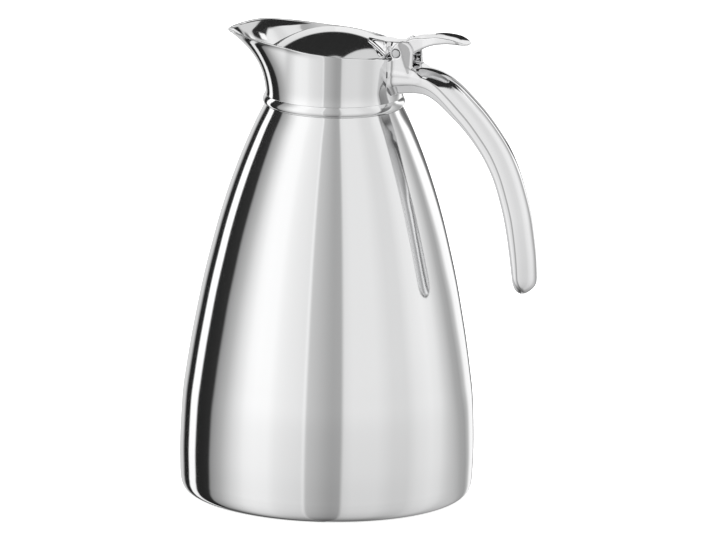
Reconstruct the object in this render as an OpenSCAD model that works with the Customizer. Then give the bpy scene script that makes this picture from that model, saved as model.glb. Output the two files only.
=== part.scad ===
// Double-wall vacuum carafe with a pouring spout, an open cast handle and a
// flip lid that is raised by a thumb lever.
// Frame: +Z up, origin on the axis of the body in the plane it stands on.
// The spout points to -X, the handle and the thumb lever to +X, and the
// whole object is symmetric about the plane Y = 0. Millimetres.

/* [Body] */
// Largest outer radius of the jacket, just above the foot
body_r = 70.9; // [66:0.1:76]
// Sheet thickness of the jacket
shell_t = 0.8; // [0.6:0.1:1.2]
// Sheet thickness of the inner liner
liner_t = 0.8; // [0.6:0.1:1.0]
// Vacuum gap between jacket and liner, measured across
vacuum_gap = 6.2; // [5:0.1:8]

/* [Neck and spout] */
// Outer radius of the collar just above the bead
neck_r = 32.4; // [32.2:0.1:32.8]
// Outer radius of the collar at the rear rim
rim_r = 33; // [32.8:0.1:33.4]
// Sheet thickness of the collar
neck_t = 1.0; // [0.8:0.1:1.2]
// How far the spout reaches past the round collar
spout_reach = 22; // [18:0.5:24]
// Half angle of the sector that flares into the spout
spout_half_angle = 66; // [58:1:72]
// Height of the rim where it crosses the middle of the collar
rim_z = 219.9; // [219:0.1:221]

/* [Lid] */
// Radius of the sphere that the dome is cut from
dome_R = 51; // [48:0.5:56]
// Height of the top of the dome
dome_top = 226.2; // [225:0.1:227]
// Outer radius of the lid
lid_r = 30.5; // [30:0.1:30.7]
// Radius of the round mouth under the lid
mouth_r = 27; // [26.6:0.1:27.4]
// Height of the top face of the mouth ring
mouth_z = 205; // [204:0.5:205.5]

/* [Hinge] */
// Distance of the hinge pin from the axis of the body
pin_x = 34.4; // [34:0.1:35]
// Height of the hinge pin
pin_z = 218.8; // [218:0.1:219.5]
// Radius of the hinge pin
pin_r = 1.9; // [1.5:0.1:2]
// Radial play of the knuckle on the pin
pin_play = 0.05; // [0.02:0.01:0.09]
// Outer width over the two hinge ears
hinge_w = 20; // [19:0.5:21]
// Gap between the two hinge ears
ear_gap = 12.6; // [12:0.1:13]

/* [Handle and lever] */
// Width of the handle
handle_w = 21; // [18:0.5:23]
// Width of the thumb paddle of the lever
paddle_w = 14; // [13:0.5:17]

/* [Hidden] */
$fn = 96;

steel = [0.82, 0.83, 0.84];
steel_in = [0.72, 0.73, 0.74];

// ---------------------------------------------------------------- curves
// Catmull-Rom curve through the points of P, n steps to a span.
function cr(a, b, c, d, t) =
    0.5 * (2 * b + (c - a) * t + (2 * a - 5 * b + 4 * c - d) * t * t
           + (3 * b - a - 3 * c + d) * t * t * t);
function curve(P, n) = let (m = len(P) - 1) concat(
    [for (i = [0:m - 1], k = [0:n - 1])
        cr(P[max(i - 1, 0)], P[i], P[i + 1], P[min(i + 2, m)], k / n)],
    [P[m]]);

// ------------------------------------------------------- body of revolution
// The jacket's outline as [height, share of the way from neck to belly].
belly = [[9, 0.992], [24, 1], [46, 0.977], [61, 0.93], [76, 0.872],
         [90, 0.808], [105, 0.733], [120, 0.643], [135, 0.544],
         [150, 0.427], [165, 0.29], [180, 0.13], [189.3, 0.013]];
belly_mm = [for (p = curve(belly, 3)) [neck_r + (body_r - neck_r) * p[1], p[0]]];
edge = body_r - 70.9;
foot = [[66.9 + edge, 0.5], [68.2 + edge, 0.9], [69.3 + edge, 2.2],
        [70.1 + edge, 4.8]];
jacket_out = concat(foot, belly_mm);

function shift_r(P, d) = [for (p = P) [p[0] - d, p[1]]];
function rev(P) = [for (i = [len(P) - 1:-1:0]) P[i]];
// The outline between two heights, moved inwards by d.
function part_of(P, z0, z1, d) =
    [for (p = P) if (p[1] >= z0 && p[1] <= z1) [p[0] - d, p[1]]];

collar_in = neck_r - neck_t - 0.08;   // inside radius of the spout collar
jacket_neck = collar_in - 0.3;        // outside radius of the jacket's neck
liner_off = shell_t + vacuum_gap;     // jacket outside to liner outside

module outer_shell() color(steel) rotate_extrude()
    polygon(concat(
        jacket_out,
        [[jacket_neck, 189.95], [jacket_neck, mouth_z - 1.1],
         [jacket_neck - shell_t, mouth_z - 1.1], [jacket_neck - shell_t, 189.4]],
        rev(part_of(jacket_out, 4, 188, shell_t)),
        [[66.4 + edge, 1.4]]));

// Pressed bottom of the jacket, with the hole it was pumped out through.
module shell_bottom() color(steel_in) rotate_extrude()
    polygon([[3.1, 5.2], [44, 5.2], [60, 3.4], [67.6 + edge, 3.4],
             [67.6 + edge, 4.2], [60.2, 4.2], [44.2, 6], [3.1, 6]]);

// Cover pressed into the foot: its outer ring is the face the carafe rests on.
module base_cover() color(steel_in) rotate_extrude()
    polygon([[0, 2], [50, 2], [54, 0], [65.4 + edge, 0], [66.2 + edge, 0.8],
             [66.2 + edge, 3.3], [65.4 + edge, 3.3], [65.2 + edge, 0.8],
             [54.4, 0.8], [50.4, 2.8], [0, 2.8]]);

// Braze plug that closes the pump-out hole.
module vacuum_seal_plug() color([0.72, 0.62, 0.42]) rotate_extrude()
    polygon([[0, 4.2], [4.6, 4.2], [4.6, 5.1], [3.05, 5.1], [3.05, 6.4],
             [0, 6.4]]);

liner_out = concat(part_of(jacket_out, 20, 181, liner_off));
module inner_liner() color(steel_in) rotate_extrude()
    polygon(concat(
        [[liner_out[0][0] - 1.2, 14.2]],
        liner_out,
        [[mouth_r - 0.2, 188], [mouth_r - 0.2, mouth_z - 1.1],
         [mouth_r - 0.2 - liner_t, mouth_z - 1.1],
         [mouth_r - 0.2 - liner_t, 187.4]],
        rev(shift_r(liner_out, liner_t)),
        [[liner_out[0][0] - 2, 14.2]]));

// Dished bottom of the liner, welded inside its wall.
module liner_bottom() color(steel_in) rotate_extrude()
    polygon([[0, 12.4], [46, 11.2], [56, 11], [liner_out[0][0] - 2.1, 13.4],
             [liner_out[0][0] - 2.1, 17], [liner_out[0][0] - 2.9, 17],
             [liner_out[0][0] - 3.1, 13.8], [55.8, 11.8], [46, 12],
             [0, 13.2]]);

// Gas-absorbing pellet held on the underside of the liner bottom.
module getter() color([0.45, 0.43, 0.42]) translate([30, 0, 8.6])
    cylinder(h = 2.6, r = 6);

// Ring that joins the liner to the jacket and carries the lid's gasket.
module mouth_ring() color(steel) rotate_extrude()
    polygon([[mouth_r - 0.9, mouth_z - 1], [mouth_r - 0.9, mouth_z - 0.4],
             [mouth_r - 0.5, mouth_z], [collar_in - 0.06, mouth_z],
             [collar_in - 0.06, mouth_z - 1]]);

// Rounded bead that covers the seam between jacket and collar.
module neck_bead() color(steel) rotate_extrude()
    translate([neck_r, 0]) polygon(concat(
        [[0.07, 189.65], [0.58, 189.45]],
        curve([[0.9, 189.75], [1.2, 190], [1.5, 190.5], [1.64, 191.2], [1.58, 192],
               [1.34, 192.9], [0.96, 193.7], [0.5, 194.4]], 3),
        [[0.07, 194.5]]));

// ------------------------------------------------------------------ spout
sp_z0 = 195.6;              // the flare starts here
sp_z1 = rim_z + 2.6;        // height of the spout's tip
sp_foot = 191.3;            // lower edge of the collar

// Share of the full reach at an angle from the spout's middle, 1 to 0.
function flare(phi) = let (
    soft = 5,
    q = (sqrt(phi * phi + soft * soft) - soft)
        / (sqrt(spout_half_angle * spout_half_angle + soft * soft) - soft))
    q < 1 ? pow(1 - q, 1.25) : 0;
function up(z) = min(1, max(0, (z - sp_z0) / (sp_z1 - sp_z0)));
function neck_out(phi, z) =
    neck_r + (rim_r - neck_r) * up(z)
    + (0.055 * min(1, up(z) * 8) + 0.945 * pow(up(z), 2.2))
      * spout_reach * flare(phi);
// The rim is a tilted cut that droops towards the tip and behind the lid.
function cut_z(x) = rim_z - 0.093 * x - 0.0135 * pow(max(0, -x - 40), 2)
    - 0.01 * pow(max(0, x - 20), 2);
// Height of the rim at an angle, by iteration on the flared radius.
function rim_at(phi, n = 12, z = rim_z) = n == 0 ? z :
    rim_at(phi, n - 1, cut_z(-neck_out(phi, z) * cos(phi)));

sp_n = 72;
sp_m = 14;
function phi_of(i) = let (a = i * 360 / sp_n) a > 180 ? 360 - a : a;
// a from the spout's middle, t from foot (0) to rim (1), d inwards
function sp_pt(i, t, d) = let (
    a = i * 360 / sp_n, p = phi_of(i),
    z = sp_foot + (rim_at(p) - sp_foot) * t,
    r = d > 0 ? max(neck_out(p, z) - d * (1 + 0.25 * flare(p) * t),
                    collar_in) : neck_out(p, z))
    [-r * cos(a), -r * sin(a), z];
sp_pts = concat(
    [for (j = [0:sp_m], i = [0:sp_n - 1]) sp_pt(i, j / sp_m, 0)],
    [for (j = [0:sp_m], i = [0:sp_n - 1]) sp_pt(i, j / sp_m, neck_t)]);
sp_o = (sp_m + 1) * sp_n;
sp_faces = concat(
    [for (j = [0:sp_m - 1], i = [0:sp_n - 1]) let (k = (i + 1) % sp_n)
        [j * sp_n + i, (j + 1) * sp_n + i, (j + 1) * sp_n + k, j * sp_n + k]],
    [for (j = [0:sp_m - 1], i = [0:sp_n - 1]) let (k = (i + 1) % sp_n)
        [sp_o + j * sp_n + i, sp_o + j * sp_n + k,
         sp_o + (j + 1) * sp_n + k, sp_o + (j + 1) * sp_n + i]],
    [for (i = [0:sp_n - 1]) let (k = (i + 1) % sp_n)
        [sp_m * sp_n + i, sp_o + sp_m * sp_n + i,
         sp_o + sp_m * sp_n + k, sp_m * sp_n + k]],
    [for (i = [0:sp_n - 1]) let (k = (i + 1) % sp_n)
        [i, k, sp_o + k, sp_o + i]]);
// Quads split into triangles along one diagonal.
function tris(F) = [for (f = F) each [[f[0], f[1], f[2]], [f[0], f[2], f[3]]]];

module neck_spout() color(steel) polyhedron(points = sp_pts, faces = tris(sp_faces));

// ----------------------------------------------------------------- handle
// Stations of the handle, from the neck to the tail, as [x, z of the
// underside, half width share, side height, crown height, edge radius].
hd = [[40, 200.1, 0.95, 8.9, 2.2, 4], [44, 200.4, 0.95, 8.3, 2.9, 4],
      [48, 200.1, 0.96, 7.3, 4, 4], [52, 198.5, 0.97, 6.3, 5.3, 3.8],
      [56.5, 195.5, 0.98, 5.5, 6.1, 3.2], [62, 190.9, 1, 5.1, 6.3, 2.5],
      [68, 185.4, 1, 4.8, 6.3, 2], [74, 178.6, 1, 4.6, 6.3, 1.7],
      [79.5, 171, 1, 4.6, 6.2, 1.5], [84, 162.4, 1, 4.4, 6.2, 1.5],
      [87.5, 152.5, 1, 4.3, 6.3, 1.5], [90.1, 143, 1, 4.3, 6.3, 1.5],
      [92, 133.5, 1, 4.1, 6.3, 1.5], [93.5, 124, 1, 3.8, 6.4, 1.5],
      [94.6, 116, 0.97, 3.4, 6.3, 1.5], [95.1, 112.6, 0.91, 3.2, 6.1, 1.5],
      [95.4, 110.4, 0.82, 3, 6, 1.4], [95.8, 108.4, 0.67, 2.7, 5.7, 1.2],
      [96.4, 106.9, 0.46, 2.3, 4.6, 1]];
hs = curve(hd, 2);
hd_c = 7;   // crown points to each side of the middle
function hd_dir(i) = let (
    a = hs[max(i - 1, 0)], b = hs[min(i + 1, len(hs) - 1)],
    v = [b[0] - a[0], b[1] - a[1]]) v / norm(v);
// One ring of the handle: [y, height over the underside].
function hd_ring(a, h, c, r) = concat(
    [[-a + r, 0], [-a + r * 0.5, r * 0.13], [-a + r * 0.13, r * 0.5], [-a, r],
     [-a, h]],
    [for (k = [-hd_c + 1:hd_c - 1]) let (s = sin(k * 90 / hd_c))
        [a * s, h + c * pow(1 - pow(abs(s), 2.1), 0.62)]],
    [[a, h], [a, r], [a - r * 0.13, r * 0.5], [a - r * 0.5, r * 0.13],
     [a - r, 0], [0, 0.4]]);
hd_rings = [for (i = [0:len(hs) - 1]) let (
    s = hs[i], t = hd_dir(i), n = [-t[1], t[0]])
    [for (p = hd_ring(handle_w / 2 * s[2], s[3], s[4], s[5]))
        [s[0] + n[0] * p[1], p[0], s[1] + n[1] * p[1]]]];
hd_k = len(hd_rings[0]);
hd_m = len(hd_rings);
hd_end = [99.6, 0, 105.9];
module handle_blade()
    polyhedron(
        points = concat([for (r = hd_rings) each r],
                        [[hs[0][0], 0, hs[0][1] + 4], hd_end]),
        faces = concat(
            tris([for (j = [0:hd_m - 2], i = [0:hd_k - 1])
                let (k = (i + 1) % hd_k)
                [j * hd_k + i, j * hd_k + k, (j + 1) * hd_k + k,
                 (j + 1) * hd_k + i]]),
            [for (i = [0:hd_k - 1]) [hd_m * hd_k, (i + 1) % hd_k, i]],
            [for (i = [0:hd_k - 1])
                [hd_m * hd_k + 1, (hd_m - 1) * hd_k + i,
                 (hd_m - 1) * hd_k + (i + 1) % hd_k]]));

// Side outline of the root that is welded to the collar.
root_side = [[31, 198], [33.6, 198.2], [36, 198.8], [38.4, 199.5],
             [41, 200.1], [44, 200.4], [46.5, 200.4], [47.5, 205],
             [47, 208.6], [44.5, 210.6], [42, 211.7], [31, 212.2]];
// Its lower edges are rounded; outline across, seen along X.
root_low = [[-10, 216], [-10, 202], [-9.5, 200.2], [-8.2, 198.8], [-6.2, 198],
            [6.2, 198], [8.2, 198.8], [9.5, 200.2], [10, 202], [10, 216]];
// Side outline of a hinge ear, round about the pin.
ear_side = concat(
    [for (a = [250:-15:130]) [pin_x + 3.2 * cos(a), pin_z + 3.2 * sin(a)]],
    [[33.6, 223], [35.4, 224.2], [37.2, 224.6], [39.2, 223.8], [41, 222.1],
     [41.7, 220], [41.7, 211.5], [31.2, 211.5]]);

module xz(w) rotate([90, 0, 0]) linear_extrude(height = w, center = true)
    children();

module handle() color(steel) difference() {
    union() {
        handle_blade();
        intersection() {
            xz(hinge_w) polygon(root_side);
            rotate([90, 0, 90]) linear_extrude(height = 60) polygon(root_low);
        }
        // ears, with the rear part of their outer faces bevelled
        for (s = [-1, 1]) difference() {
            translate([0, s * (hinge_w + ear_gap) / 4, 0])
                xz((hinge_w - ear_gap) / 2) polygon(ear_side);
            translate([0, 0, 212.3]) linear_extrude(height = 20)
                polygon([[38.4, s * 11], [38.4, s * hinge_w / 2],
                         [42, s * (hinge_w / 2 - 1.7)], [42, s * 11]]);
        }
    }
    translate([0, 0, 190]) cylinder(h = 25.95, r = rim_r + 0.02);
    translate([pin_x, 0, pin_z]) rotate([90, 0, 0])
        cylinder(h = 40, r = pin_r + 0.01, center = true);
}

module hinge_pin() color(steel) translate([pin_x, 0, pin_z])
    rotate([90, 0, 0]) cylinder(h = hinge_w + 0.6, r = pin_r, center = true);

// Thin washers that keep the knuckle off the ears.
module hinge_washers() color([0.3, 0.3, 0.31]) for (s = [-1, 1])
    translate([pin_x, s * (ear_gap / 2 - 0.17), pin_z]) rotate([90, 0, 0])
        difference() {
            cylinder(h = 0.24, r = 3, center = true);
            cylinder(h = 1, r = pin_r + 0.03, center = true);
        }

// ------------------------------------------------------------------ lever
lever_side = curve([[16.6, 222.9], [20, 223.6], [25, 223.6], [30, 223.2],
                    [33.4, 223.3], [36.4, 223.9], [38.4, 224.7],
                    [40.2, 225.6], [42.4, 226.2], [46, 226.7], [50, 227.4],
                    [54, 227.8], [58, 227.6], [62, 227.1], [65.5, 226],
                    [67.6, 225.1]], 2);
lever_under = [[68.4, 224.6], [67.4, 223.8], [63.8, 224.4], [59.2, 224.6],
               [54, 223.9], [50.6, 223], [48, 221.9], [46, 220.8],
               [41.4, 218.2], [39.4, 217], [37.4, 215.8], [34.4, 215.3],
               [31.6, 216.3], [30.9, 217.4], [27, 217.4], [16.6, 217.4]];
lever_plan = [[16.4, 0], [16.6, 2.4], [17.6, 3.6], [28, 7.4], [29.2, 7.4],
              [30.4, 6], [45, 6], [48, 6.3], [51, 6.8], [55, 7], [59.6, 7],
              [63.4, 6.5], [66, 5.2], [67.6, 3.2], [68.4, 0]];
lever_w = [for (p = lever_plan) [p[0], p[1] <= 6 ? p[1]
            : 6 + (p[1] - 6) * (p[0] > 40 ? paddle_w / 2 - 6 : 1)]];

module thumb_lever() color(steel) difference() {
    intersection() {
        xz(30) polygon(concat(lever_side, lever_under));
        translate([0, 0, 200]) linear_extrude(height = 40)
            polygon(concat(lever_w, [for (p = rev(lever_w)) if (p[1] > 0)
                                     [p[0], -p[1]]]));
    }
    // seat on the dome
    translate([0, 0, dome_top - dome_R]) intersection() {
        sphere(r = dome_R + 0.03);
        translate([0, 0, 20]) cylinder(h = 60, r = lid_r + 0.6);
    }
    translate([pin_x, 0, pin_z]) rotate([90, 0, 0])
        cylinder(h = 40, r = pin_r + pin_play, center = true);
    for (s = [-1, 1]) translate([24, s * 3.4, 216])
        cylinder(h = 6.4, r = 1.55);
}

// -------------------------------------------------------------------- lid
dome_z = dome_top - dome_R;
function on_dome(R, r) = dome_z + sqrt(R * R - r * r);
dome_edge = on_dome(dome_R, lid_r);
function dome_line(R, r1, n) =
    [for (k = [0:n]) [r1 * k / n, on_dome(R, r1 * k / n)]];

module lid_dome() color(steel) difference() {
    rotate_extrude() polygon(concat(
        dome_line(dome_R, lid_r - 0.3, 16),
        [[lid_r, dome_edge - 0.3], [lid_r, 208.4], [lid_r - 0.8, 208.4],
         [lid_r - 0.8, dome_edge - 0.8]],
        rev(dome_line(dome_R - 0.8, lid_r - 1.3, 16))));
    for (s = [-1, 1]) translate([24, s * 3.4, 210])
        cylinder(h = 20, r = 1.6);
}

module lid_screws() color(steel_in) for (s = [-1, 1])
    translate([24, s * 3.4, 0]) {
        translate([0, 0, 216.6]) cylinder(h = 5.6, r = 1.5);
        translate([0, 0, 215.2]) cylinder(h = 1.7, r = 2.7);
    }

// Plug-shaped lower half of the lid: flange, tapered wall and flat bottom.
module lid_inner_pan() color(steel_in) rotate_extrude()
    polygon([[0, 198], [22.2, 198], [25.2, 204.4], [25.5, 208.5],
             [lid_r - 0.9, 208.5], [lid_r - 0.9, 209.3], [24.8, 209.3],
             [24.4, 204.7], [21.7, 198.8], [0, 198.8]]);

module lid_insulation() color([0.93, 0.91, 0.85]) rotate_extrude()
    polygon(concat([[0, 199], [21.4, 199], [24.2, 204.8], [24.6, 209.5],
                    [28, 209.5]],
                   rev(dome_line(dome_R - 6.6, 28, 8))));

// Soft ring under the flange that closes the mouth.
module lid_gasket() color([0.85, 0.85, 0.86]) rotate_extrude()
    polygon([[25.65, 205.6], [26.6, 205.3], [28.4, 205.3], [29.6, 206.2],
             [29.3, 207], [28.2, 206.8], [28.2, 208.4], [25.65, 208.4]]);

outer_shell();
shell_bottom();
base_cover();
inner_liner();
liner_bottom();
getter();
vacuum_seal_plug();
mouth_ring();
neck_spout();
neck_bead();
handle();
hinge_pin();
hinge_washers();
thumb_lever();
lid_dome();
lid_screws();
lid_inner_pan();
lid_insulation();
lid_gasket();
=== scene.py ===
"""Polished vacuum carafe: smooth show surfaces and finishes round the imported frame."""
import math

import bpy
import numpy as np
from mathutils import Matrix, Vector


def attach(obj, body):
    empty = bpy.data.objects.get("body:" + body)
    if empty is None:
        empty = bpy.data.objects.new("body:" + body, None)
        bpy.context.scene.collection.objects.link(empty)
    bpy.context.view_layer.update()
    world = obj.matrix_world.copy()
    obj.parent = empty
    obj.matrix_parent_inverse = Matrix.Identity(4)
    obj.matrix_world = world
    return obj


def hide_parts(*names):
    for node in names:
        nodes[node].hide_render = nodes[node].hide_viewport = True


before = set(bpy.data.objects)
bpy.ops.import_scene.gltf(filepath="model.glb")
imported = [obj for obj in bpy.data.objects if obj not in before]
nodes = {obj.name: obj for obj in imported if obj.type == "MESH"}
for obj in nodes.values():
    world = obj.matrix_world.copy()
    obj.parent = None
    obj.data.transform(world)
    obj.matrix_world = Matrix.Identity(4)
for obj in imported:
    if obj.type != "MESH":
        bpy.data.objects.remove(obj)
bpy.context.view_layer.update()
MM = 0.001


# --------------------------------------------------------------------- curves
def curve(points, n):
    """Catmull-Rom curve through the points, n steps to a span."""
    p = np.array(points, float)
    m = len(p) - 1
    out = []
    for i in range(m):
        a, b, c, d = p[max(i - 1, 0)], p[i], p[i + 1], p[min(i + 2, m)]
        for k in range(n):
            t = k / n
            out.append(0.5 * (2 * b + (c - a) * t + (2 * a - 5 * b + 4 * c - d) * t * t
                              + (3 * b - a - 3 * c + d) * t ** 3))
    out.append(p[m])
    return np.array(out)


def arc(cx, cz, r, a0, a1, n):
    """Points of an arc in (radius, height), angles in degrees."""
    a = np.radians(np.linspace(a0, a1, n))
    return np.stack([cx + r * np.cos(a), cz + r * np.sin(a)], 1)


def round_corners(points, radii, n=5):
    """Round the corners of a closed outline."""
    p = np.array(points, float)
    if np.isscalar(radii):
        radii = [radii] * len(p)
    out = []
    for i in range(len(p)):
        a, b, c = p[i - 1], p[i], p[(i + 1) % len(p)]
        r = radii[i]
        u, v = a - b, c - b
        lu, lv = np.linalg.norm(u), np.linalg.norm(v)
        if r <= 0 or lu < 1e-9 or lv < 1e-9:
            out.append(b)
            continue
        u, v = u / lu, v / lv
        cosang = np.clip(u @ v, -1, 1)
        half = math.acos(cosang) / 2
        if half > math.radians(86):
            out.append(b)
            continue
        d = min(r / math.tan(half), lu * 0.45, lv * 0.45)
        q0, q1 = b + u * d, b + v * d
        for k in range(n + 1):
            t = k / n
            out.append((1 - t) ** 2 * q0 + 2 * t * (1 - t) * b + t * t * q1)
    return np.array(out)


# --------------------------------------------------------------------- meshes
def new_mesh(name, verts_mm, faces, normals=None, sharp_deg=None):
    me = bpy.data.meshes.new(name)
    me.from_pydata([tuple(v) for v in np.asarray(verts_mm) * MM], [], [tuple(int(i) for i in f) for f in faces])
    me.validate()
    me.update()
    me.polygons.foreach_set("use_smooth", [True] * len(me.polygons))
    ob = bpy.data.objects.new(name, me)
    bpy.context.scene.collection.objects.link(ob)
    if sharp_deg is not None:
        me.set_sharp_from_angle(angle=math.radians(sharp_deg))
    if normals is not None:
        me.normals_split_custom_set_from_vertices([tuple(n) for n in normals])
    return ob


def revolve(name, outline, segs=192, sharp_deg=None):
    """Turn a closed outline of (radius, height) in mm, given anticlockwise, into a solid of revolution."""
    p = np.array(outline, float)
    keep = [0]
    for i in range(1, len(p)):
        if np.linalg.norm(p[i] - p[keep[-1]]) > 1e-5:
            keep.append(i)
    p = p[keep]
    if np.linalg.norm(p[0] - p[-1]) < 1e-5:
        p = p[:-1]
    n = len(p)
    on_axis = p[:, 0] < 1e-6
    ang = np.arange(segs) * 2 * math.pi / segs
    index, verts = [], []
    for i in range(n):
        if on_axis[i]:
            index.append([len(verts)] * segs)
            verts.append((0.0, 0.0, p[i, 1]))
        else:
            index.append(list(range(len(verts), len(verts) + segs)))
            verts += [(p[i, 0] * math.cos(a), p[i, 0] * math.sin(a), p[i, 1]) for a in ang]
    faces = []
    for i in range(n):
        j = (i + 1) % n
        if on_axis[i] and on_axis[j]:
            continue
        for k in range(segs):
            l = (k + 1) % segs
            q = [index[i][k], index[i][l], index[j][l], index[j][k]]
            f = []
            for v in q:
                if v not in f:
                    f.append(v)
            if len(f) > 2:
                faces.append(f)
    return new_mesh(name, verts, faces, sharp_deg=sharp_deg)


# ------------------------------------------------- implicit solids, in mm
def smax(a, b, k):
    h = np.maximum(k - np.abs(a - b), 0) / k
    return np.maximum(a, b) + h * h * k * 0.25


def smin(a, b, k):
    return -smax(-a, -b, k)


class Outline:
    """Signed distance to a closed outline in the X-Z plane, by lookup."""

    def __init__(self, points, step=0.1, margin=8.0):
        p = np.array(points, float)
        self.lo = p.min(0) - margin
        hi = p.max(0) + margin
        nx, nz = (np.ceil((hi - self.lo) / step)).astype(int) + 1
        self.step = step
        gx = self.lo[0] + np.arange(nx) * step
        gz = self.lo[1] + np.arange(nz) * step
        X, Z = np.meshgrid(gx, gz, indexing="ij")
        q = np.stack([X.ravel(), Z.ravel()], 1)
        best = np.full(len(q), 1e9)
        inside = np.zeros(len(q), bool)
        for i in range(len(p)):
            a, b = p[i], p[(i + 1) % len(p)]
            d = b - a
            L = d @ d
            if L < 1e-12:
                continue
            t = np.clip(((q - a) @ d) / L, 0, 1)
            e = q - a - t[:, None] * d
            best = np.minimum(best, (e * e).sum(1))
            cross = (a[1] > q[:, 1]) != (b[1] > q[:, 1])
            if abs(d[1]) > 1e-12:
                xi = a[0] + (q[:, 1] - a[1]) * d[0] / d[1]
                inside ^= cross & (q[:, 0] < xi)
        f = np.sqrt(best)
        f[inside] *= -1
        self.f = f.reshape(nx, nz)

    def __call__(self, x, z):
        u = (x - self.lo[0]) / self.step
        v = (z - self.lo[1]) / self.step
        nx, nz = self.f.shape
        u = np.clip(u, 0, nx - 1.001)
        v = np.clip(v, 0, nz - 1.001)
        i, j = u.astype(int), v.astype(int)
        s, t = u - i, v - j
        f = self.f
        return ((f[i, j] * (1 - s) + f[i + 1, j] * s) * (1 - t)
                + (f[i, j + 1] * (1 - s) + f[i + 1, j + 1] * s) * t)


class Spine:
    """A curve in the X-Z plane with values along it: for a point, its height
    over the curve, its place along it, and the values there."""

    def __init__(self, table, n):
        c = curve(table, n)
        self.p = c[:, :2]
        self.val = c[:, 2:]
        seg = np.linalg.norm(np.diff(self.p, axis=0), axis=1)
        self.s = np.concatenate([[0], np.cumsum(seg)])
        t = np.gradient(self.p, axis=0)
        self.t = t / np.linalg.norm(t, axis=1)[:, None]

    def __call__(self, x, z):
        shape = x.shape
        q = np.stack([x.ravel(), z.ravel()], 1)
        key, back = np.unique(np.round(q, 4), axis=0, return_inverse=True)
        back = back.ravel()
        best = np.empty(len(key), int)
        for k in range(0, len(key), 20000):
            d = ((key[k:k + 20000, None, :] - self.p[None]) ** 2).sum(2)
            best[k:k + 20000] = d.argmin(1)
        i = np.clip(best, 1, len(self.p) - 2)
        # place on the two spans round the nearest point
        out = None
        for a in (i - 1, i):
            d = self.p[a + 1] - self.p[a]
            L = (d * d).sum(1)
            t = ((key - self.p[a]) * d).sum(1) / L
            lo = np.where(a == 0, -1e3, 0)
            hi = np.where(a == len(self.p) - 2, 1e3, 1)
            t = np.clip(t, lo, hi)
            foot = self.p[a] + t[:, None] * d
            dist = ((key - foot) ** 2).sum(1)
            tc = np.clip(t, 0, 1)[:, None]
            tang = self.t[a] * (1 - tc) + self.t[a + 1] * tc
            tang /= np.linalg.norm(tang, axis=1)[:, None]
            m = (key[:, 0] - foot[:, 0]) * -tang[:, 1] + (key[:, 1] - foot[:, 1]) * tang[:, 0]
            s = self.s[a] + t * np.sqrt(L)
            v = self.val[a] * (1 - tc) + self.val[a + 1] * tc
            now = np.concatenate([m[:, None], s[:, None], v], 1)
            if out is None:
                out, od = now, dist
            else:
                pick = dist < od
                out = np.where(pick[:, None], now, out)
        out = out[back].reshape(shape + (out.shape[1],))
        return out


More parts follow.
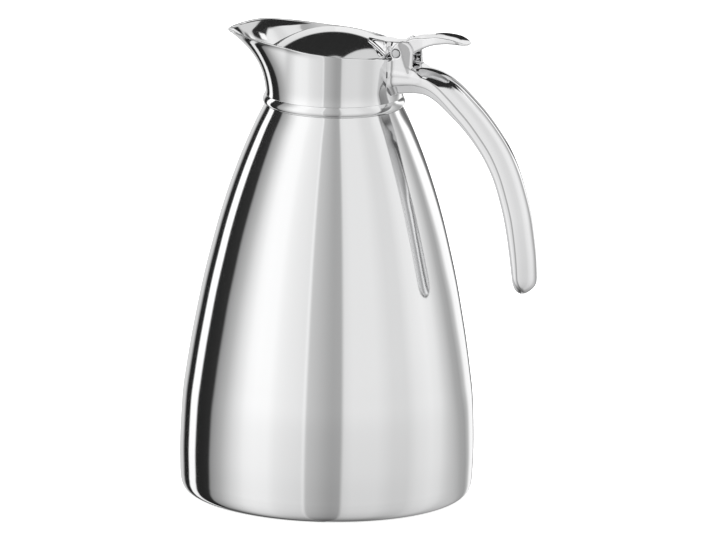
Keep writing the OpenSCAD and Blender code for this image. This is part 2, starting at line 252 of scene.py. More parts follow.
def surface(name, f, lo, hi, step, refine=4, soft=0.05):
    """Mesh of f = 0 by surface nets, its points then moved onto the true surface."""
    lo, hi = np.array(lo, float), np.array(hi, float)
    n = np.ceil((hi - lo) / step).astype(int) + 1
    ax = [lo[k] + np.arange(n[k]) * step for k in range(3)]
    X, Y, Z = np.meshgrid(*ax, indexing="ij")
    F = f(X, Y, Z).astype(np.float64)
    F[np.abs(F) < 1e-7] = 1e-7
    inside = F < 0
    # cells that the surface passes through
    c = [inside[i:n[0] - 1 + i, j:n[1] - 1 + j, k:n[2] - 1 + k]
         for i in (0, 1) for j in (0, 1) for k in (0, 1)]
    cnt = sum(x.astype(int) for x in c)
    active = (cnt > 0) & (cnt < 8)
    cells = np.argwhere(active)
    idx = -np.ones(active.shape, int)
    idx[tuple(cells.T)] = np.arange(len(cells))
    acc = np.zeros((len(cells), 3))
    num = np.zeros(len(cells))
    corners = [(i, j, k) for i in (0, 1) for j in (0, 1) for k in (0, 1)]
    for a in corners:
        for d in range(3):
            if a[d] == 1:
                continue
            b = list(a)
            b[d] = 1
            fa = F[tuple((cells + a).T)]
            fb = F[tuple((cells + b).T)]
            cr = (fa < 0) != (fb < 0)
            t = np.where(cr, fa / np.where(cr, fa - fb, 1), 0)
            pos = np.array(a, float)[None] + np.zeros((len(cells), 3))
            pos[:, d] += t
            acc += pos * cr[:, None]
            num += cr
    P = lo + (cells + acc / num[:, None]) * step

    def grad(P, e=0.02):
        g = np.empty_like(P)
        for d in range(3):
            o = np.zeros(3)
            o[d] = e
            q, r = P + o, P - o
            g[:, d] = (f(*q.T) - f(*r.T)) / (2 * e)
        return g

    for _ in range(refine):
        v = f(*P.T)
        g = grad(P)
        gg = (g * g).sum(1)
        move = -(v / np.maximum(gg, 0.05))[:, None] * g
        L = np.linalg.norm(move, axis=1)
        move *= np.minimum(1, 0.4 * step / np.maximum(L, 1e-9))[:, None]
        P = P + move
    g = grad(P, soft)
    N = g / np.maximum(np.linalg.norm(g, axis=1), 1e-9)[:, None]
    faces = []
    for d in range(3):
        e, h = (d + 1) % 3, (d + 2) % 3
        sl0 = [slice(1, n[k] - 1) for k in range(3)]
        sl0[d] = slice(0, n[d] - 1)
        sl1 = list(sl0)
        sl1[d] = slice(1, n[d])
        A, B = inside[tuple(sl0)], inside[tuple(sl1)]
        cr = np.argwhere(A != B)
        start = np.array([s.start for s in sl0])
        base = cr + start
        flip = A[tuple(cr.T)]
        q = []
        for de, dh in ((0, 0), (-1, 0), (-1, -1), (0, -1)):
            b = base.copy()
            b[:, e] += de
            b[:, h] += dh
            q.append(idx[tuple(b.T)])
        q = np.stack(q, 1)
        q = np.where(flip[:, None], q, q[:, ::-1])
        faces.append(q)
    faces = np.concatenate(faces)
    faces = faces[(faces >= 0).all(1)]
    # outward: the face normal should follow the gradient
    a, b, c2 = P[faces[:, 0]], P[faces[:, 1]], P[faces[:, 2]]
    fn = np.cross(b - a, c2 - a)
    if (fn * N[faces[:, 0]]).sum() < 0:
        faces = faces[:, ::-1]
    return new_mesh(name, P, faces, normals=N)


# ------------------------------------------------------------------ materials
def material(name, base, metallic, rough, rough_var=0.0, bump=0.0, lines=(60, 60, 900),
             mottled=0.0, coat=0.0, spec=0.5):
    """Principled surface whose colour, gloss and relief vary by object position."""
    m = bpy.data.materials.new(name)
    m.use_nodes = True
    nt = m.node_tree
    for n in list(nt.nodes):
        nt.nodes.remove(n)
    out = nt.nodes.new("ShaderNodeOutputMaterial")
    bs = nt.nodes.new("ShaderNodeBsdfPrincipled")
    nt.links.new(bs.outputs[0], out.inputs[0])
    bs.inputs["Metallic"].default_value = metallic
    bs.inputs["Specular IOR Level"].default_value = spec
    if coat:
        bs.inputs["Coat Weight"].default_value = coat
        bs.inputs["Coat Roughness"].default_value = 0.1
    tc = nt.nodes.new("ShaderNodeTexCoord")
    big = nt.nodes.new("ShaderNodeTexNoise")
    big.inputs["Scale"].default_value = 28.0
    big.inputs["Detail"].default_value = 5.0
    nt.links.new(tc.outputs["Object"], big.inputs["Vector"])
    # colour
    mix = nt.nodes.new("ShaderNodeMix")
    mix.data_type = "RGBA"
    lo = [max(0, c * (1 - mottled)) for c in base]
    mix.inputs[6].default_value = (*lo, 1)
    mix.inputs[7].default_value = (*base, 1)
    nt.links.new(big.outputs["Fac"], mix.inputs[0])
    nt.links.new(mix.outputs[2], bs.inputs["Base Color"])
    # fine lines left by polishing
    mp = nt.nodes.new("ShaderNodeMapping")
    mp.inputs["Scale"].default_value = lines
    nt.links.new(tc.outputs["Object"], mp.inputs["Vector"])
    fine = nt.nodes.new("ShaderNodeTexNoise")
    fine.inputs["Scale"].default_value = 1.0
    fine.inputs["Detail"].default_value = 3.0
    nt.links.new(mp.outputs[0], fine.inputs["Vector"])
    # gloss
    mr = nt.nodes.new("ShaderNodeMapRange")
    mr.inputs["To Min"].default_value = max(0.0, rough - rough_var)
    mr.inputs["To Max"].default_value = rough + rough_var
    add = nt.nodes.new("ShaderNodeMath")
    add.operation = "MULTIPLY_ADD"
    add.inputs[1].default_value = 0.5
    nt.links.new(fine.outputs["Fac"], add.inputs[0])
    half = nt.nodes.new("ShaderNodeMath")
    half.operation = "MULTIPLY"
    half.inputs[1].default_value = 0.5
    nt.links.new(big.outputs["Fac"], half.inputs[0])
    nt.links.new(half.outputs[0], add.inputs[2])
    nt.links.new(add.outputs[0], mr.inputs["Value"])
    nt.links.new(mr.outputs[0], bs.inputs["Roughness"])
    if bump:
        bp = nt.nodes.new("ShaderNodeBump")
        bp.inputs["Strength"].default_value = bump
        bp.inputs["Distance"].default_value = 0.00002
        nt.links.new(fine.outputs["Fac"], bp.inputs["Height"])
        nt.links.new(bp.outputs[0], bs.inputs["Normal"])
    return m


POLISHED = material("polished_steel", (0.90, 0.902, 0.905), 1.0, 0.075, 0.012, bump=0.05, mottled=0.015)
CAST = material("cast_steel", (0.90, 0.90, 0.905), 1.0, 0.06, 0.012, bump=0.04, lines=(300, 300, 300), mottled=0.02)
INNER = material("inner_steel", (0.62, 0.63, 0.64), 1.0, 0.26, 0.06, bump=0.35, lines=(40, 40, 2600), mottled=0.06)
PIN = material("pin_steel", (0.66, 0.665, 0.67), 1.0, 0.2, 0.05, bump=0.3, lines=(900, 120, 900), mottled=0.08)
BRAZE = material("braze", (0.72, 0.58, 0.36), 1.0, 0.38, 0.1, bump=0.6, lines=(500, 500, 500), mottled=0.2)
GETTER = material("getter", (0.30, 0.29, 0.28), 1.0, 0.6, 0.1, bump=0.8, lines=(900, 900, 900), mottled=0.25)
NYLON = material("washer", (0.05, 0.05, 0.055), 0.0, 0.45, 0.06, bump=0.3, lines=(900, 900, 900), mottled=0.15)
FOAM = material("foam", (0.86, 0.80, 0.66), 0.0, 0.85, 0.08, bump=0.9, lines=(700, 700, 700), mottled=0.12, spec=0.2)
GASKET = material("gasket", (0.70, 0.70, 0.69), 0.0, 0.42, 0.06, bump=0.25, lines=(500, 500, 500), mottled=0.06)


def dress(ob, mat):
    ob.data.materials.clear()
    ob.data.materials.append(mat)


def show(ob, body, mat, slot, *replaced):
    ob.data.materials.clear()
    ob.data.materials.append(mat)
    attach(ob, body)
    if replaced:
        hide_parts(*replaced)
    return ob


# ------------------------------------------------------------------ the jacket
BODY_R, NECK_R, RIM_R = 70.84, 32.4, 33.0
belly = [(9, 0.992), (24, 1.0), (46, 0.977), (61, 0.93), (76, 0.872), (90, 0.808),
         (105, 0.733), (120, 0.643), (135, 0.544), (150, 0.427), (165, 0.29),
         (180, 0.13), (189.3, 0.013)]
wall = curve(belly, 8)
wall = np.stack([NECK_R + (BODY_R - NECK_R) * wall[:, 1], wall[:, 0]], 1)
foot = curve([(66.9, 0.5), (68.0, 0.75), (69.0, 1.6), (69.75, 3.2), (70.25, 5.6), (wall[0][0], wall[0][1])], 6)
inner_wall = wall[4::6][::-1] - np.array([0.8, 0])
inner_wall = inner_wall[(inner_wall[:, 1] < 187.5) & (inner_wall[:, 1] > 5)]
jacket = np.concatenate([
    foot[:-1], wall, [(31.3, 189.8), (31.05, 190.3), (31.02, 203.9), (30.25, 203.9), (30.22, 189.5)],
    inner_wall, [(69.0, 4.4), (68.0, 1.9), (66.5, 1.3)]])
show(revolve("jacket", jacket, 256, sharp_deg=38), "carafe", POLISHED, "polished_steel", "outer_shell")

# ------------------------------------------------------- bead and liner parts
COLLAR_IN = NECK_R - 1.08
bead = np.concatenate([
    curve([(33.3, 189.75), (33.6, 190.0), (33.88, 190.5), (34.03, 191.2), (33.97, 192.0), (33.73, 192.9),
           (33.36, 193.7), (32.98, 194.36)], 6),
    [(32.9, 194.44), (32.47, 194.5), (32.47, 189.65), (32.98, 189.46)]])
show(revolve("bead", bead, 256, sharp_deg=50), "carafe", POLISHED, "polished_steel", "neck_bead")

ring = round_corners([(26.1, 204), (31.25, 204), (31.25, 205), (26.1, 205)], [0.15, 0.1, 0.1, 0.4])
show(revolve("mouth_flange", ring, 160), "carafe", POLISHED, "polished_steel", "mouth_ring")

liner = wall[(wall[:, 1] >= 20) & (wall[:, 1] <= 181)][::3] - np.array([7.0, 0])
liner_outline = np.concatenate([
    [(liner[0][0] - 1.2, 14.2)], liner, curve([liner[-1], (27.6, 186.0), (26.8, 189.5)], 4)[1:],
    [(26.8, 203.9), (26.0, 203.9), (26.0, 189.3)], (liner - np.array([0.8, 0]))[::-1],
    [(liner[0][0] - 2.0, 14.2)]])
show(revolve("liner", liner_outline, 128, sharp_deg=35), "carafe", INNER, "inner_steel", "inner_liner")

cover = round_corners([(0, 2), (50, 2), (54, 0), (65.4, 0), (66.2, 0.8), (66.2, 3.3), (65.4, 3.3),
                       (65.2, 0.8), (54.4, 0.8), (50.4, 2.8), (0, 2.8)],
                      [0, 1.5, 1.5, 0.5, 0.5, 0.2, 0.2, 0.2, 1.2, 1.2, 0])
show(revolve("foot_cover", cover, 160), "carafe", INNER, "inner_steel", "base_cover")

# -------------------------------------------------------------------- spout
REACH, HALF, RIM_Z, Z0 = 22.0, 66.0, 219.9, 195.6
Z1, FOOT_Z = RIM_Z + 2.6, 191.3


def flare(phi):
    soft = 5.0
    q = (np.sqrt(phi * phi + soft * soft) - soft) / (math.sqrt(HALF * HALF + soft * soft) - soft)
    x = 1 - q
    x = 0.5 * (x + np.sqrt(x * x + 0.05 ** 2))
    x = x / (0.5 * (1 + math.sqrt(1 + 0.05 ** 2)))
    return x ** 1.25


def up(z):
    return np.clip((z - Z0) / (Z1 - Z0), 0, 1.05)


def neck_out(phi, z):
    t = up(z)
    return (NECK_R + (RIM_R - NECK_R) * t
            + (0.055 * (1 - np.exp(-t * 10)) + 0.945 * t ** 2.2) * REACH * flare(np.abs(phi)))


def cut_z(x):
    return (RIM_Z - 0.093 * x - 0.0135 * np.maximum(0, -x - 40) ** 2
            - 0.01 * np.maximum(0, x - 20) ** 2)


def build_spout(nphi=360, nt=44):
    phi = np.linspace(-180, 180, nphi + 1)[:-1]
    # even steps all round; this line leaves them unchanged
    phi = phi - 0.0 * phi
    rim = np.full(nphi, RIM_Z)
    for _ in range(30):
        rim = cut_z(-neck_out(phi, rim) * np.cos(np.radians(phi)))
    T = 1.0
    lip = 0.3
    tt = np.linspace(0, 1, nt + 1) ** 0.8
    SEAM = 194.46
    # the last millimetres of the lip turn out a little, most at the spout's flanks
    far = np.clip((102 - np.abs(phi)) / 26, 0, 1)
    turn = far * far * (3 - 2 * far) * (0.20 + 0.62 * np.clip(np.abs(phi) / 62, 0, 1) ** 1.5)

    def ring_at(z, d):
        near = np.clip(1 - (rim - z) / 3.0, 0, 1)
        r = neck_out(phi, z) + turn * near * near
        if d:
            d = d - 0.4 * near
        if np.isscalar(d):
            # soft flare down onto the bead
            low = np.clip((200.2 - z) / (200.2 - SEAM), 0, 1)
            r = r + np.where(z > SEAM - 0.1, 0.52 * low ** 2.4, 0)
        else:
            # offset square to the wall in the plane of the axis
            e = 0.05
            s = (neck_out(phi, z + e) - neck_out(phi, z - e)) / (2 * e)
            k = np.sqrt(1 + s * s)
            r = np.maximum(r - d * np.minimum(k, 1.7), COLLAR_IN + 0.4 * near)
        return np.stack([-r * np.cos(np.radians(phi)), -r * np.sin(np.radians(phi)), z], 1)

    rows = []
    rows.append(ring_at(np.full(nphi, FOOT_Z), 0))
    rows.append(ring_at(np.full(nphi, SEAM - 0.2), 0))
    for t in tt[:-1]:
        rows.append(ring_at(SEAM + (rim - lip - SEAM) * t, 0))
    # rolled edge: half a round from outside to inside
    o = ring_at(rim - lip, 0)
    i = ring_at(rim - lip, T)
    top = 0.5 * (o + i)
    top[:, 2] = rim
    for a in np.linspace(0, math.pi, 11):
        c = math.cos(a)
        p = 0.5 * (o + i) + 0.5 * (o - i) * c
        p[:, 2] = rim - lip + lip * math.sin(a)
        rows.append(p)
    for t in tt[::-1][1:]:
        rows.append(ring_at(FOOT_Z + (rim - lip - FOOT_Z) * t, T))
    V = np.concatenate(rows)
    R = len(rows)
    F = []
    for r in range(R):
        r2 = (r + 1) % R
        for k in range(nphi):
            l = (k + 1) % nphi
            F.append((r * nphi + k, r * nphi + l, r2 * nphi + l, r2 * nphi + k))
    F = [f[::-1] for f in F]
    return new_mesh("spout_collar", V, F, sharp_deg=60)


spout = build_spout()
show(spout, "carafe", POLISHED, "polished_steel", "neck_spout")

# ------------------------------------------------------------------- handle
PIN_X, PIN_Z, PIN_R = 34.4, 218.8, 1.9
HW = 10.5
# x, z of the underside, half width, side height, crown height, edge radius
grip = [(36, 198.6, 9.95, 10.9, 1.6, 5.2), (40, 199.1, 9.97, 9.9, 2.2, 5.2), (44, 199.4, 10.0, 9.3, 2.9, 5.1),
        (48, 199.1, 10.05, 8.3, 4.0, 4.8), (52, 197.6, 10.15, 7.2, 5.3, 4.3), (56.5, 194.8, 10.3, 6.2, 6.1, 3.6),
        (62, 190.4, 10.45, 5.6, 6.3, 2.9), (68, 185.1, 10.5, 5.1, 6.3, 2.4), (74, 178.5, 10.5, 4.7, 6.3, 2.0),
        (79.5, 171, 10.5, 4.6, 6.2, 1.7), (84, 162.4, 10.5, 4.4, 6.2, 1.7), (87.5, 152.5, 10.5, 4.3, 6.3, 1.7),
        (90.1, 143, 10.5, 4.3, 6.3, 1.7), (92, 133.5, 10.5, 4.1, 6.3, 1.7), (93.5, 124, 10.45, 3.8, 6.4, 1.7),
        (94.6, 116, 10.4, 3.4, 6.3, 1.7), (95.3, 110.5, 10.3, 3.1, 6.1, 1.7), (96.0, 105.6, 10.2, 2.9, 5.9, 1.7)]
spine = Spine(grip, 24)
S_END = spine.s[-1]
TAIL = 9.6


def blade(x, y, z):
    v = spine(x, z)
    m, s, a, h, c, edge = (v[..., k] for k in range(6))
    u = np.maximum(s - (S_END - TAIL), 0) / TAIL
    ya = y / a
    side = (np.sqrt(ya * ya + u * u) - 1) * a
    top = m - h - c * (1 - ya * ya - u ** 4)
    top = top / np.sqrt(1 + (2 * c * y / (a * a)) ** 2 + (4 * c * u ** 3 / TAIL) ** 2)
    f = smax(side, top, 0.7)
    # the lower edges slope in to the underside
    slope = (side - 0.7 * m + 0.7 * edge) / 1.2207
    return smax(smax(f, slope, 0.7), -m, 1.0)


root_pts = np.concatenate([[(29.5, 204.5), (44.5, 205.0), (47.0, 206.0), (46.6, 209.0)],
                           curve([(44.5, 210.8), (42, 211.8), (38, 212.2), (29.5, 212.4)], 5)])
root2d = Outline(root_pts)
ear_pts = np.concatenate([
    [(PIN_X + 3.2 * math.cos(math.radians(a)), PIN_Z + 3.2 * math.sin(math.radians(a)))
     for a in range(246, 129, -6)],
    curve([(32.9, 222.0), (33.9, 223.2), (35.6, 224.3), (37.4, 224.6), (39.3, 223.8),
           (41.0, 222.0), (41.8, 219.8), (41.9, 216.5)], 6),
    [(41.9, 208.0), (31.0, 208.0), (31.4, 214.4)]])
ear2d = Outline(ear_pts)


def handle_f(x, y, z):
    ay = np.abs(y)
    b = blade(x, y, z)
    r = smax(root2d(x, z), ay - 9.4, 1.2)
    b = smin(b, r, 1.2)
    e2 = ear2d(x, z)
    xl = 37.5 + (216.5 - z) * 0.34
    outer = smax(ay - 10.0, (ay - 10.0 + 0.47 * (x - xl)) / 1.13, 0.35)
    ear = smax(smax(e2, outer, 0.8), 6.3 - ay, 0.5)
    f = smin(b, ear, 0.9)
    rr = np.sqrt(x * x + y * y)
    # weld fillet round the root, its own inner half hidden in the collar's wall
    wall_r = NECK_R - 0.06 + (RIM_R - NECK_R) * np.clip((z - Z0) / (Z1 - Z0), 0, 1)
    shell = np.maximum(np.maximum(rr - wall_r, z - 214.4), np.maximum(194.9 - z, ay - 11.3))
    f = smin(f, shell, 3.0)
    f = np.maximum(f, np.minimum(31.75 - rr, 215.95 - z))
    hole = PIN_R + 0.06 + np.clip(ay - 9.5, 0, 1) - np.sqrt((x - PIN_X) ** 2 + (z - PIN_Z) ** 2)
    return smax(f, hole, 0.2)


STEP = 0.5
handle = surface("handle_cast", handle_f, (29.2, -11.6, 102.6), (105.2, 11.6, 226.2), STEP, soft=0.25)
show(handle, "carafe", CAST, "cast_steel", "handle")

# ---------------------------------------------------------------- hinge pin
pin = round_corners([(0, -10.28), (1.86, -10.28), (1.88, 10.28), (0, 10.28)], [0, 0.35, 0.35, 0])
pin_ob = revolve("pin", pin, 64)
pin_ob.data.transform(Matrix.Translation((PIN_X * MM, 0, PIN_Z * MM)) @ Matrix.Rotation(math.radians(90), 4, "X"))
show(pin_ob, "carafe", PIN, "pin_steel", "hinge_pin")

# -------------------------------------------------------------------- lever
lever_top = curve([(16.6, 222.6), (18.5, 223.3), (21, 223.6), (25, 223.6), (30, 223.2), (33.4, 223.3),
                   (36.4, 223.9), (38.4, 224.7), (40.2, 225.55), (42.4, 226.2), (46, 226.7), (50, 227.4),
                   (54, 227.8), (58, 227.6), (62, 227.1), (65.5, 226.0), (67.6, 225.1), (68.3, 224.8)], 6)
lever_low = curve([(68.3, 224.5), (67.2, 224.1), (63.8, 224.5), (59.2, 224.7), (54, 224.0), (50.6, 223.1),
                   (48, 222.0), (46, 220.9), (41.4, 218.3), (39.4, 217.1), (37.3, 215.9), (34.5, 215.4),
                   (31.8, 216.4), (30.7, 217.5)], 6)
lever2d = Outline(np.concatenate([lever_top, lever_low, [(27, 217.5), (16.6, 217.5)]]), margin=10)
lever_plan = curve([(15.6, 0.6), (16.6, 2.6), (17.8, 3.6), (22, 5.2), (27.6, 7.2), (29.2, 6.9), (30.4, 6.05),
                    (33, 6.0), (45, 6.0), (48, 6.3), (51, 6.8), (55, 7.0), (59.6, 7.0), (63.4, 6.5),
                    (66, 5.2), (67.6, 3.2), (68.35, 0.2)], 6)
DISH = 1.0


def lever_f(x, y, z):
    ay = np.abs(y)
    w = np.interp(x, lever_plan[:, 0], lever_plan[:, 1])
    top = np.interp(x, lever_top[:, 0], lever_top[:, 1])
    k = np.clip((x - 41) / 9, 0, 1) * np.clip((68.3 - x) / 5, 0, 1)
    hollow = z - top + DISH * k * (1 - (y / 7.0) ** 2)
    hollow = np.where((x > 40) & (z > 222), hollow, -5)
    f = smax(lever2d(x, z), hollow, 0.25)
    dome = 51.06 - np.sqrt(x * x + y * y + (z - 175.2) ** 2)
    arm = np.clip((29.4 - x) / 2.6, 0, 1)
    f = smax(f, ay - w + 0.6 * arm, np.where(z > top - 1.2, 0.55, 1.3) + 0.9 * arm)
    # sloping top edges, widest over the hinge
    wide = np.interp(x, [17, 20, 27, 29.5, 35, 38, 40], [0.3, 0.45, 0.5, 1.35, 1.35, 0.3, 0.1])
    f = smax(f, 0.788 * (ay - w + 0.6 * arm) + 0.616 * (z - top) + wide, 0.3)
    pad = smax(smax(ay - w - 0.45, -dome - 0.55, 0.5), np.maximum(18.6 - x, x - 28.8), 0.8)
    f = smin(f, pad, 2.6)
    inlid = np.sqrt(x * x + y * y) - 31.0
    f = smax(f, np.minimum(dome, -inlid), 0.3)
    hole = PIN_R + 0.06 - np.sqrt((x - PIN_X) ** 2 + (z - PIN_Z) ** 2)
    return smax(f, hole, 0.2)


lever = surface("lever_cast", lever_f, (15, -9.4, 214.4), (69.6, 9.4, 230.2), 0.38)
show(lever, "lid", CAST, "cast_steel", "thumb_lever")

# ---------------------------------------------------------------------- lid
DR, DZ, LR = 51.0, 175.2, 30.5


def on_dome(r, rad):
    return DZ + math.sqrt(rad * rad - r * r)


cap = np.array([(r, on_dome(r, DR)) for r in np.linspace(0, LR - 0.35, 40)])
edge = curve([cap[-1], (LR - 0.08, on_dome(LR, DR) - 0.12), (LR, on_dome(LR, DR) - 0.5)], 5)[1:]
under = np.array([(r, on_dome(r, DR - 0.8)) for r in np.linspace(LR - 1.3, 0, 20)])
dome = np.concatenate([cap[::-1], under[::-1], [(LR - 0.8, on_dome(LR, DR) - 0.8), (LR - 0.8, 208.4),
                       (LR, 208.4)], edge[::-1]])[::-1]
show(revolve("dome", dome, 192, sharp_deg=50), "lid", POLISHED, "polished_steel", "lid_dome")

pan = round_corners([(0, 198), (22.2, 198), (25.2, 204.4), (25.5, 208.5), (LR - 0.9, 208.5), (LR - 0.9, 209.3),
                     (24.8, 209.3), (24.4, 204.7), (21.7, 198.8), (0, 198.8)],
                    [0, 1.2, 2, 0.2, 0.3, 0.3, 0.3, 2, 0.9, 0])
show(revolve("lid_pan", pan, 160), "lid", INNER, "inner_steel", "lid_inner_pan")

seal = round_corners([(25.65, 205.6), (26.6, 205.3), (28.4, 205.3), (29.6, 206.2), (29.3, 207), (28.2, 206.8),
                      (28.2, 208.4), (25.65, 208.4)], [0.2, 0.4, 0.5, 0.35, 0.35, 0.4, 0.2, 0.2])
show(revolve("seal", seal, 160), "lid", GASKET, "gasket", "lid_gasket")

# ----------------------------------------------------- finishes of CAD nodes
for name, mat, slot in (("shell_bottom", INNER, "inner_steel"), ("liner_bottom", INNER, "inner_steel"),
                        ("getter", GETTER, "getter"), ("vacuum_seal_plug", BRAZE, "braze"),
                        ("hinge_washers", NYLON, "washer"), ("lid_screws", PIN, "pin_steel"),
                        ("lid_insulation", FOAM, "foam")):
    dress(nodes[name], mat)

# -------------------------------------------------------------------- camera
AZ, EL, ROLL, DIST, LENS_PX = 20.0, 13.3, 1.18, 3.9, 8125.0
TARGET = Vector((0, 0, 0.110))
a, e, ro = math.radians(AZ), math.radians(EL), math.radians(ROLL)
right = Vector((math.cos(a), math.sin(a), 0))
back = Vector((math.sin(a) * math.cos(e), -math.cos(a) * math.cos(e), math.sin(e)))
upv = back.cross(right)
r2 = right * math.cos(ro) + upv * math.sin(ro)
u2 = upv * math.cos(ro) - right * math.sin(ro)
R0 = Matrix((r2, u2, back)).transposed()
aim = Vector((330.4 - 358.0, 270.0 - 265.3, -LENS_PX)).normalized()
Q = aim.rotation_difference(Vector((0, 0, -1))).to_matrix()
cam_data = bpy.data.cameras.new("camera")
cam_data.sensor_width = 36.0
cam_data.lens = LENS_PX * 36.0 / 716.0
cam_data.clip_start = 0.05
cam_data.clip_end = 60.0
cam = bpy.data.objects.new("camera", cam_data)
bpy.context.scene.collection.objects.link(cam)
cam.matrix_world = Matrix.Translation(TARGET + back * DIST) @ (R0 @ Q).to_4x4()
bpy.context.scene.camera = cam

# --------------------------------------------------------------------- floor
me = bpy.data.meshes.new("floor")
me.from_pydata([(9 * math.cos(t), 9 * math.sin(t), 0) for t in np.linspace(0, 2 * math.pi, 97)[:-1]], [],
               [tuple(range(96))])
floor = bpy.data.objects.new("floor", me)
bpy.context.scene.collection.objects.link(floor)
fm = bpy.data.materials.new("floor_paint")
fm.use_nodes = True
fb = fm.node_tree.nodes["Principled BSDF"]
fb.inputs["Base Color"].default_value = (0.93, 0.93, 0.93, 1)
fb.inputs["Roughness"].default_value = 0.9
fb.inputs["Specular IOR Level"].default_value = 0.0
fb.inputs["Emission Color"].default_value = (1, 1, 1, 1)
fb.inputs["Emission Strength"].default_value = 0.7
me.materials.append(fm)
floor.visible_glossy = False

# --------------------------------------------------- studio light: the world
# White walls, grey gaps and black cards of a small photo tent, as brightness
# by bearing: 0 is the camera's side, minus is to its left, in degrees.
LEFT = [(-180, 0.85), (-156, 0.75), (-151, 0.25), (-149, 0.02), (-139, 0.02), (-137, 1.25), (-126.5, 1.25),
        (-124.5, 0.02), (-106, 0.03), (-103, 0.34), (-92, 0.52), (-80, 0.82), (-68, 1.06), (-60, 1.1),
        (-48, 1.08), (-41, 0.98), (-33, 0.92), (-20, 0.86), (-18, 1.0), (-16, 0.62), (-9, 0.55), (0, 0.45)]
RIGHT = [(0, 0.45), (4, 0.42), (10.5, 0.43), (13, 0.80), (20, 0.86), (40, 0.86), (54, 0.77), (66, 0.77),
         (76, 0.88), (90, 0.95), (100, 0.90), (111, 0.72), (120, 0.60), (129, 0.47), (139, 0.42), (146, 0.6),
         (152, 1.1), (164, 1.2), (167, 0.25), (173.5, 0.1), (177, 0.5)]
CARD = 0.022


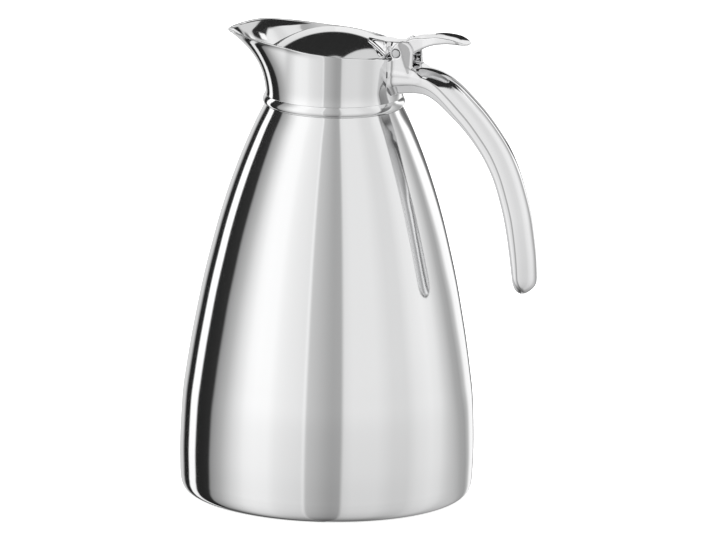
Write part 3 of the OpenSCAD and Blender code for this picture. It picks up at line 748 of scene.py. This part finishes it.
def build_world():
    w = bpy.data.worlds.new("studio")
    bpy.context.scene.world = w
    w.use_nodes = True
    nt = w.node_tree
    for n in list(nt.nodes):
        nt.nodes.remove(n)
    N, L = nt.nodes.new, nt.links.new

    def op(kind, *args):
        n = N("ShaderNodeMath")
        n.operation = kind
        for k, v in enumerate(args):
            if isinstance(v, (int, float)):
                n.inputs[k].default_value = v
            else:
                L(v, n.inputs[k])
        return n.outputs[0]

    def step(v, lo, hi):
        """0 below lo, 1 above hi, smooth between; falls if lo is above hi."""
        n = N("ShaderNodeMapRange")
        n.interpolation_type = "SMOOTHSTEP"
        if lo > hi:
            lo, hi = hi, lo
            n.inputs["To Min"].default_value, n.inputs["To Max"].default_value = 1.0, 0.0
        n.inputs["From Min"].default_value, n.inputs["From Max"].default_value = lo, hi
        L(v, n.inputs["Value"])
        return n.outputs[0]

    def ramp(t, cards, lo, hi):
        r = N("ShaderNodeValToRGB")
        L(t, r.inputs[0])
        cr = r.color_ramp
        place = [(d - lo) / (hi - lo) for d, _ in cards]
        cr.elements[0].position, cr.elements[0].color = place[0], (*[cards[0][1]] * 3, 1)
        cr.elements[1].position, cr.elements[1].color = place[-1], (*[cards[-1][1]] * 3, 1)
        for q, (_, v) in list(zip(place, cards))[1:-1]:
            cr.elements.new(q).color = (v, v, v, 1)
        return r.outputs[0]

    def mix(f, u, v):
        n = N("ShaderNodeMix")
        n.data_type = "RGBA"
        L(f, n.inputs[0])
        for sock, c in ((6, u), (7, v)):
            if isinstance(c, (int, float)):
                n.inputs[sock].default_value = (c, c, c, 1)
            else:
                L(c, n.inputs[sock])
        return n.outputs[2]

    tc = N("ShaderNodeTexCoord")
    sep = N("ShaderNodeSeparateXYZ")
    L(tc.outputs["Generated"], sep.inputs[0])
    x, y, z = sep.outputs
    sa, ca = math.sin(a), math.cos(a)
    front = op("ADD", op("MULTIPLY", x, sa), op("MULTIPLY", y, -ca))
    side = op("ADD", op("MULTIPLY", x, ca), op("MULTIPLY", y, sa))
    az = op("MULTIPLY", op("ARCTAN2", side, front), 180 / math.pi)
    el = op("MULTIPLY", op("ARCSINE", op("MAXIMUM", op("MINIMUM", z, 1.0), -1.0)), 180 / math.pi)
    # the cards at both sides stand slightly askew
    lean = op("MAXIMUM", op("MINIMUM", op("ADD", el, 13.0), 24.0), -16.0)
    lean = op("MULTIPLY", lean, op("ADD", op("MULTIPLY", step(az, -60, -95), -0.22),
                                   op("MULTIPLY", step(az, 100, 138), 1.3)))
    bearing = op("ADD", az, lean)
    tl = op("DIVIDE", op("ADD", bearing, 180.0), 180.0)
    tr = op("DIVIDE", bearing, 180.0)
    wall = mix(op("GREATER_THAN", bearing, 0.0), ramp(tl, LEFT, -180, 0), ramp(tr, RIGHT, 0, 180))
    # darker towards the table
    fall = op("SUBTRACT", 1.0, op("MULTIPLY", op("MAXIMUM", op("SUBTRACT", 2.0, el), 0.0), 0.0075))
    fall = op("SUBTRACT", fall, op("MULTIPLY", op("MAXIMUM", op("SUBTRACT", -42.0, el), 0.0), 0.007))
    fall = op("MAXIMUM", fall, 0.24)
    dim = N("ShaderNodeMix")
    dim.data_type = "RGBA"
    dim.blend_type = "MULTIPLY"
    dim.inputs[0].default_value = 1.0
    L(wall, dim.inputs[6])
    L(fall, dim.inputs[7])
    c = dim.outputs[2]
    # pale gap over the right-hand wall, black ceiling, black card behind
    c = mix(op("MULTIPLY", step(el, 38, 46), step(az, 98, 108)), c, 0.70)
    over = op("ADD", el, op("MULTIPLY", step(az, 80, 112), 13.5))
    ceiling = op("MULTIPLY", step(over, 57.0, 60.0), step(el, 88, 84))
    c = mix(op("MULTIPLY", ceiling, op("MULTIPLY", step(az, 127, 123), step(az, -112, -100))), c, CARD)
    lamp = op("MULTIPLY", op("MULTIPLY", step(az, 98, 99.5), step(az, 112, 110)),
              op("MULTIPLY", step(el, 45.5, 46.5), step(el, 53, 52)))
    c = mix(lamp, c, 1.1)
    c = mix(op("MULTIPLY", step(el, -42, -50), step(az, -98, -106)), c, 0.1)
    c = mix(op("MULTIPLY", step(el, -5, 1), step(az, 158, 163)), c, 0.92)
    behind = op("MAXIMUM", step(az, 150, 153), step(az, -133, -137))
    c = mix(op("MULTIPLY", op("MULTIPLY", step(el, 24, 28), step(el, 79, 75)), behind), c, CARD)
    c = mix(step(el, 84, 88), c, 0.95)
    studio = N("ShaderNodeBackground")
    L(c, studio.inputs[0])
    studio.inputs[1].default_value = 1.0
    plain = N("ShaderNodeBackground")
    plain.inputs[0].default_value = (1, 1, 1, 1)
    plain.inputs[1].default_value = 1.15
    lp = N("ShaderNodeLightPath")
    sh = N("ShaderNodeMixShader")
    L(lp.outputs["Is Glossy Ray"], sh.inputs[0])
    L(plain.outputs[0], sh.inputs[1])
    L(studio.outputs[0], sh.inputs[2])
    out = N("ShaderNodeOutputWorld")
    L(sh.outputs[0], out.inputs[0])


build_world()
bpy.context.scene.view_settings.view_transform = "Standard"
bpy.context.scene.view_settings.look = "None"
